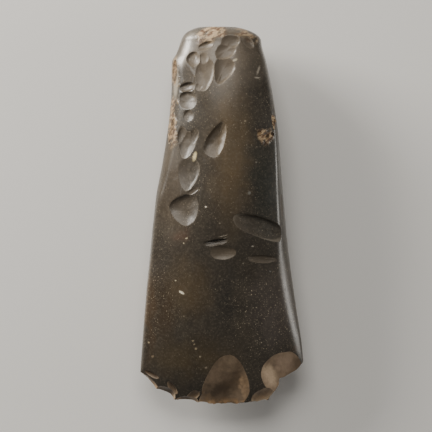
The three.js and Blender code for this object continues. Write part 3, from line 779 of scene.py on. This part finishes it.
# Pale grains and marks that stand out singly on the front
marks = [
    ((-12.1, 27.2), (1.1, 3), -14, (206, 190, 146), 0.95),
    ((17.2, 67), (0.7, 3), -18, (170, 160, 144), 0.6),
    ((16.7, 63.6), (1.9, 0.5), 0, (176, 166, 150), 0.6),
    ((-7, 4.1), (0.55, 0.55), 0, (230, 220, 200), 1),
    ((-20.8, 61), (1.4, 9), -3, (178, 168, 150), 0.5),
    ((6.4, 71.6), (1.6, 0.7), 24, (214, 200, 172), 0.7),
    ((13, 10.5), (1, 1), 0, (128, 126, 118), 0.7),
    ((16.2, 24.5), (0.6, 0.6), 0, (140, 134, 120), 0.6),
    ((11.1, 43.5), (0.6, 0.6), 0, (160, 146, 122), 0.6),
    ((-18.1, -35.3), (1.8, 0.7), -30, (240, 230, 204), 1),
    ((-20.9, -29.8), (0.6, 0.45), 0, (200, 188, 160), 0.8),
    ((-11.6, -61.3), (0.8, 0.6), 30, (176, 158, 128), 0.7),
    ((-13, -57.6), (0.6, 0.5), 0, (176, 158, 128), 0.7),
    ((-12.3, -59.2), (0.4, 0.4), 0, (176, 158, 128), 0.7),
    ((-9.7, -65), (0.5, 0.5), 0, (180, 165, 140), 0.7),
    ((-33.4, -58.5), (0.6, 0.5), 0, (190, 172, 140), 0.7),
    ((-31.5, -65), (0.9, 0.7), 20, (140, 122, 98), 0.6),
    ((-7, -70.1), (0.9, 0.6), 0, (150, 136, 116), 0.7),
    ((-0.5, -3.4), (0.6, 0.5), 0, (150, 140, 122), 0.6),
    ((10.2, -21.9), (0.6, 0.5), 0, (140, 132, 116), 0.6),
    ((-17.2, -12.6), (0.5, 0.5), 0, (190, 178, 150), 0.8),
    ((-15.8, -10.3), (0.8, 0.5), 10, (190, 178, 150), 0.8),
    ((14.4, -14), (0.7, 0.5), 0, (170, 162, 148), 0.8),
    ((22.7, -25.6), (0.5, 0.5), 0, (140, 136, 130), 0.7),
    ((0.9, -9.1), (2.9, 0.28), 14, (150, 142, 126), 0.6),
    ((1.4, -10.3), (2.4, 0.25), 20, (150, 142, 126), 0.5),
]
# The bevel on the butt: pale patina, laid on strongly as a painted highlight for the glare it catches.
# The left side: a painted highlight along its outer edge where it stands out furthest, over slight pale wear
bevel_patina_and_highlight = [((-17.6, 76.5), (4.6, 14), -24, (202, 194, 182), 0.8)]
left_edge_wear_and_highlight = [
    ((-34, -29), (1.2, 24), 2, (176, 156, 126), 0.45),
    ((-30.9, -6), (0.9, 14), 1, (140, 128, 110), 0.35),
]
# Where the crust of the nodule was left on
crust_patches = [
    ((-5, 83.5), (9, 4.4), 18, 0.85),
    ((12.5, 82.5), (7, 3.8), -15, 0.55),
    ((-22, 66.6), (2.2, 9), 0, 0.5),
    ((-22.5, 43.9), (2.4, 14), 0, 0.6),
    ((20, 36.6), (4.7, 4), 0, 0.95),
    ((24.2, 43), (1.6, 3.4), 0, 0.9),
]
# Grains to the metre, the share of them left out, and how wide and how strong the rest are
grain_sizes = [(420.0, 0.72, 0.13, 0.6), (1000.0, 0.62, 0.24, 0.5), (1900.0, 0.6, 0.3, 0.35)]
crust_stretch = (800, 1500, 1100)  # its streaks, in patches to the metre along, across and down
crust_turn = math.radians(-24)
grain_tone, crust_pale, crust_rust = (186, 172, 146), (208, 178, 138), (108, 72, 42)

stone, given, result = new_group("stone", {}, {"Colour": "Color", "Crust": "Float"})
place = node(stone, "ShaderNodeTexCoord").outputs["Object"]
ragged = wandering(stone, place, 130.0, 11)
height = node(stone, "ShaderNodeSeparateXYZ", {0: place}).outputs["Z"]
front = eased(stone, height, 0.014, 0.017)
depths = eased(stone, cloudy(stone, place, 48.0, 4.0), 0.35, 0.68)
tone = over(stone, depths, colour(56, 50, 42), colour(68, 61, 51))
tone = lay_patches(stone, ragged, clouds, tone, 0.1)
# Painted highlight: the bevel's pale patina, strongest on its upper part
tone = lay_patches(stone, ragged, bevel_patina_and_highlight, tone, 0.1, eased(stone, height, 0.0205, 0.0255))
wisps = cloudy(stone, ragged, 110.0, 4.0, (1, 0.22, 1))
tone = over(stone, eased(stone, wisps, 0.35, 0.7, 0.0, 0.35), tone, colour(40, 37, 33))
mottle = cloudy(stone, place, 900.0, 5.0)
tone = over(stone, eased(stone, mottle, 0.42, 0.75, 0.0, 0.22), tone, colour(116, 106, 92))
for grains, left_out, size, strength in grain_sizes:
    cells = node(stone, "ShaderNodeTexVoronoi", {"Vector": place, "Scale": grains})
    chosen = node(stone, "ShaderNodeSeparateColor", {0: cells.outputs["Color"]}).outputs
    dense = eased(stone, cloudy(stone, place, 30.0, 2.0), 0.4, 0.6, 0.35, 1.0)
    dense = maths(stone, "ADD", dense, patch_mask(stone, ragged, (20, -48), (20, 32)))
    spot = eased(stone, cells.outputs["Distance"], size, size * 0.4)
    spot = maths(stone, "MULTIPLY", spot, maths(stone, "GREATER_THAN", chosen[0], left_out))
    spot = maths(stone, "MULTIPLY", spot, maths(stone, "MULTIPLY", dense, strength))
    tone = over(stone, spot, tone, colour(*grain_tone))
frayed = wandering(stone, place, 2200.0, 1.1)
tone = lay_patches(stone, frayed, marks, tone, 0.4, front)
# Painted highlight along the left side's outer edge, broken up by noise, over slight pale wear
widest = maths(stone, "MULTIPLY", eased(stone, height, 0.0145, 0.0172), eased(stone, height, 0.0206, 0.0178))
widest = maths(stone, "MULTIPLY", widest, eased(stone, cloudy(stone, place, 260.0, 4.0), 0.28, 0.5))
tone = lay_patches(stone, frayed, left_edge_wear_and_highlight, tone, 0.0, widest)
crust = 0.0
for centre, reach, turn, strength in crust_patches:
    mask = maths(stone, "MULTIPLY", patch_mask(stone, ragged, centre, reach, turn, 0.5), strength)
    crust = maths(stone, "MAXIMUM", crust, mask)
sockets = {"Vector": place, "Angle": crust_turn}
streaked = node(stone, "ShaderNodeVectorRotate", sockets, rotation_type="Z_AXIS").outputs[0]
streaks = cloudy(stone, streaked, 0.3, 4.0, crust_stretch)
crust = maths(stone, "MULTIPLY", crust, eased(stone, streaks, 0.32, 0.5))
crust = maths(stone, "MULTIPLY", crust, front)
rust = eased(stone, cloudy(stone, streaked, 0.45, 4.0, crust_stretch), 0.42, 0.6)
crust_tone = over(stone, rust, colour(*crust_pale), colour(*crust_rust))
tone = over(stone, maths(stone, "MULTIPLY", crust, 0.75), tone, crust_tone)
stone.links.new(tone, result.inputs["Colour"])
stone.links.new(crust, result.inputs["Crust"])

# Fine relief: the waves and rays that a blow leaves in a scar, in millimetres from where it was struck
ripples, given, result = new_group("ripples", {"Wave": "Float"}, {"Height": "Float"})
struck = node(ripples, "ShaderNodeUVMap", uv_map="struck").outputs[0]
far = vectors(ripples, "LENGTH", struck)
drift = cloudy(ripples, struck, 0.35, 3.0)
phase = maths(ripples, "DIVIDE", far, given.outputs["Wave"])
phase = maths(ripples, "ADD", phase, maths(ripples, "MULTIPLY", drift, 3.0))
wave = maths(ripples, "SINE", maths(ripples, "MULTIPLY", phase, math.tau))
parts = node(ripples, "ShaderNodeSeparateXYZ", {0: struck}).outputs
bearing = maths(ripples, "ARCTAN2", parts["Y"], parts["X"])
sockets = {"X": maths(ripples, "MULTIPLY", bearing, 14.0), "Y": maths(ripples, "MULTIPLY", far, 0.12)}
rays = cloudy(ripples, node(ripples, "ShaderNodeCombineXYZ", sockets).outputs[0], 1.0, 3.0)
height = maths(ripples, "ADD", maths(ripples, "MULTIPLY", wave, 0.35), rays)
ripples.links.new(height, result.inputs["Height"])

# Scratches: hair-thin lines that run mostly along the head
scratches, given, result = new_group("scratches", {}, {"Mask": "Float"})
place = node(scratches, "ShaderNodeTexCoord").outputs["Object"]
lines = 0.0
for degrees, stretch, thin in ((8, 26.0, 0.69), (-17, 22.0, 0.7), (64, 18.0, 0.72)):
    sockets = {"Vector": place, "Angle": math.radians(degrees)}
    turned = node(scratches, "ShaderNodeVectorRotate", sockets, rotation_type="Z_AXIS")
    hairs = cloudy(scratches, turned.outputs[0], 60.0, 1.0, (stretch, 1, stretch))
    lines = maths(scratches, "MAXIMUM", lines, eased(scratches, hairs, thin, thin + 0.06))
scratches.links.new(lines, result.inputs["Mask"])


# The four finishes on that stone: the polish of the ground faces, the duller floors of the old scars, the
# fresh chips at the blade, and the rough crust in the pits and in two hollows on the left side.
crust_roughness = 0.8
crust_depth = 0.5


def begin_finish(index):
    """A finish's node tree, emptied, with the stone in it and its shader."""
    finishes[index].use_nodes = True
    tree = finishes[index].node_tree
    tree.nodes.clear()
    shader = node(tree, "ShaderNodeBsdfPrincipled", {"IOR": 1.54})
    node(tree, "ShaderNodeOutputMaterial", {"Surface": shader.outputs["BSDF"]})
    inside = placed(tree, stone).outputs
    return tree, shader, inside["Colour"], inside["Crust"], node(tree, "ShaderNodeTexCoord").outputs["Object"]


def scar_shares(tree):
    """How far out towards its scar's rim a place lies, from 0 to 1, and how pale its scar is."""
    hollow = node(tree, "ShaderNodeUVMap", uv_map="hollow").outputs[0]
    parts = node(tree, "ShaderNodeSeparateXYZ", {0: hollow}).outputs
    return parts["X"], parts["Y"]


def set_look(tree, shader, tone, roughness, reliefs):
    """The shader's colour, roughness and relief: pairs of a height and its depth in millimetres."""
    tree.links.new(tone, shader.inputs["Base Color"])
    tree.links.new(roughness, shader.inputs["Roughness"])
    normal = None
    for height, depth in reliefs:
        sockets = {"Height": height, "Distance": depth * millimetre, "Strength": 1.0}
        if normal:
            sockets["Normal"] = normal
        normal = node(tree, "ShaderNodeBump", sockets).outputs[0]
    tree.links.new(normal, shader.inputs["Normal"])


tree, shader, tone, crust, place = begin_finish(polished)
lines = placed(tree, scratches).outputs[0]
roughness = eased(tree, cloudy(tree, place, 70.0, 4.0), 0.3, 0.7, 0.26, 0.34)
dulled = patch_mask(tree, place, (-28, 20), (12, 50), -7)
sheen = maths(tree, "SUBTRACT", 0.5, maths(tree, "MULTIPLY", dulled, 0.36))
tree.links.new(sheen, shader.inputs["Specular IOR Level"])
roughness = maths(tree, "ADD", roughness, maths(tree, "MULTIPLY", lines, 0.15))
roughness = maths(tree, "MAXIMUM", roughness, maths(tree, "MULTIPLY", crust, crust_roughness))
crust_relief = maths(tree, "MULTIPLY", crust, cloudy(tree, place, 900.0, 5.0))
set_look(tree, shader, tone, roughness, [
    (cloudy(tree, place, 240.0, 3.0), 0.05),
    (cloudy(tree, place, 1500.0, 3.0), 0.006),
    (lines, -0.006),
    (crust_relief, crust_depth),
])

tree, shader, tone, crust, place = begin_finish(flaked)
outward, paleness = scar_shares(tree)
pale = over(tree, 0.55, tone, colour(106, 93, 76))
tone = over(tree, paleness, tone, pale)
# Painted highlight: each scar is lightened towards its rim, together with the thin arris's own paleness
tone = over(tree, eased(tree, outward, 0.86, 1.0, 0.0, 0.4), tone, colour(140, 131, 116))
roughness = eased(tree, cloudy(tree, place, 200.0, 4.0), 0.3, 0.7, 0.36, 0.48)
roughness = maths(tree, "MAXIMUM", roughness, maths(tree, "MULTIPLY", crust, crust_roughness))
set_look(tree, shader, tone, roughness, [
    (placed(tree, ripples, {"Wave": 1.6}).outputs[0], 0.011),
    (cloudy(tree, place, 1300.0, 4.0), 0.012),
    (maths(tree, "MULTIPLY", crust, cloudy(tree, place, 900.0, 5.0)), crust_depth),
])

chip_patches = [
    ((-1, -81), (8, 6), 0, (60, 48, 34), 0.8),
    ((2.5, -68), (8.5, 6), 0, (154, 132, 106), 0.85),
    ((11.5, -78.5), (3.4, 9), 12, (176, 146, 112), 0.8),
    ((-6, -84), (3.5, 3), 0, (150, 122, 90), 0.7),
    ((22, -73), (5, 9), 24, (204, 178, 148), 0.85),
    ((35, -61), (5, 4), -30, (88, 62, 46), 0.8),
    ((29, -68), (6, 6), -30, (164, 140, 118), 0.8),
    ((27.5, -79), (2.5, 4), 0, (206, 160, 110), 0.7),
    ((16, -84), (4, 3), 20, (170, 144, 112), 0.7),
    ((-22, -76), (14, 6), -20, (52, 44, 36), 0.8),
]

tree, shader, tone, crust, place = begin_finish(chipped)
outward, paleness = scar_shares(tree)
to_edge = node(tree, "ShaderNodeAttribute", attribute_name="to_edge").outputs["Fac"]
pale = maths(tree, "ADD", paleness, eased(tree, cloudy(tree, place, 90.0, 4.0), 0.3, 0.7, -0.35, 0.35))
pale = maths(tree, "ADD", pale, eased(tree, outward, 0.55, 0.95, 0.0, 0.4))
pale = node(tree, "ShaderNodeClamp", {0: pale}).outputs[0]
streaks = eased(tree, cloudy(tree, place, 160.0, 5.0, (1, 0.4, 1)), 0.4, 0.65, 0.0, 0.55)
tone = over(tree, 0.85, tone, over(tree, pale, colour(94, 76, 56), colour(164, 140, 114)))
tone = lay_patches(tree, wandering(tree, place, 240.0, 10), chip_patches, tone, 0.2)
tone = over(tree, streaks, tone, colour(74, 58, 42))
# Painted glow: orange patches within 4 mm of the cutting edge, for light shining through the thin stone
painted_edge_glow = eased(tree, cloudy(tree, place, 300.0, 3.0), 0.44, 0.6, 0.0, 0.55)
painted_edge_glow = maths(tree, "MULTIPLY", painted_edge_glow, eased(tree, to_edge, 4.0, 0.3))
tone = over(tree, painted_edge_glow, tone, colour(186, 146, 100))
# Painted highlight: each chip is lightened right at its rim
tone = over(tree, eased(tree, outward, 0.92, 1.0, 0.0, 0.6), tone, colour(186, 164, 134))
roughness = eased(tree, cloudy(tree, place, 200.0, 4.0), 0.3, 0.7, 0.42, 0.6)
set_look(tree, shader, tone, roughness, [
    (placed(tree, ripples, {"Wave": 2.6}).outputs[0], 0.05),
    (cloudy(tree, place, 260.0, 4.0), 0.16),
    (cloudy(tree, place, 900.0, 5.0), 0.03),
])

tree, shader, tone, crust, place = begin_finish(crusted)
outward, paleness = scar_shares(tree)
rust = eased(tree, cloudy(tree, place, 420.0, 5.0), 0.36, 0.58)
tone = over(tree, 0.85, tone, over(tree, rust, colour(132, 106, 74), colour(46, 32, 20)))
tone = over(tree, eased(tree, outward, 0.86, 1.0, 0.0, 0.6), tone, colour(206, 190, 160))
pores = node(tree, "ShaderNodeTexVoronoi", {"Vector": place, "Scale": 1100.0}).outputs["Distance"]
set_look(tree, shader, tone, eased(tree, rust, 0.0, 1.0, 0.72, 0.92), [
    (cloudy(tree, place, 700.0, 5.0), 0.6),
    (pores, 0.15),
])


# The studio: a plain pale floor, a soft light low on the left, one high beyond the butt and a small one low
# on the right that draws the highlight down that side, and a camera straight above, as in the photograph.
floor_reach = 2
floor_paint = bpy.data.materials.new("pale floor")
floor_paint.use_nodes = True
floor_look = floor_paint.node_tree.nodes["Principled BSDF"].inputs
floor_look["Base Color"].default_value = colour(236, 234, 230)
floor_look["Roughness"].default_value = 0.9
bm = bmesh.new()
bmesh.ops.create_grid(bm, x_segments=1, y_segments=1, size=floor_reach)
as_object("floor", bm, [floor_paint])

aim = Vector((-0.0023, -0.0001, 0.017))


def soft_light(name, place, size, power, tone):
    """A square area light that looks at the head."""
    data = bpy.data.lights.new(name, "AREA")
    data.shape = "SQUARE"
    data.size = size
    data.energy = power
    data.color = tone
    lamp = in_scene(name, data)
    lamp.location = place
    lamp.rotation_euler = (Vector(place) - aim).to_track_quat("Z", "Y").to_euler()


warm = (1, 0.965, 0.905)
soft_light("key", (-0.79, 0.52, 0.22), 0.44, 19, warm)
soft_light("overhead", (-0.1, 0.85, 1.1), 0.8, 10, warm)
soft_light("right rim", (0.8, 0.02, 0.12), 0.24, 1.6, warm)

world = bpy.data.worlds.new("studio")
world.use_nodes = True
all_round = world.node_tree.nodes["Background"].inputs
all_round["Color"].default_value = (0.79, 0.79, 0.79, 1)
all_round["Strength"].default_value = 0.16
bpy.context.scene.world = world

frame_width = 0.20027  # of the scene that the picture takes in, at the height of the head's middle
camera_height = 1.5
camera = bpy.data.cameras.new("camera")
camera.sensor_width = 36
camera.lens = camera.sensor_width * camera_height / frame_width
eye = in_scene("camera", camera)
eye.location = aim + Vector((0, 0, camera_height))
bpy.context.scene.camera = eye
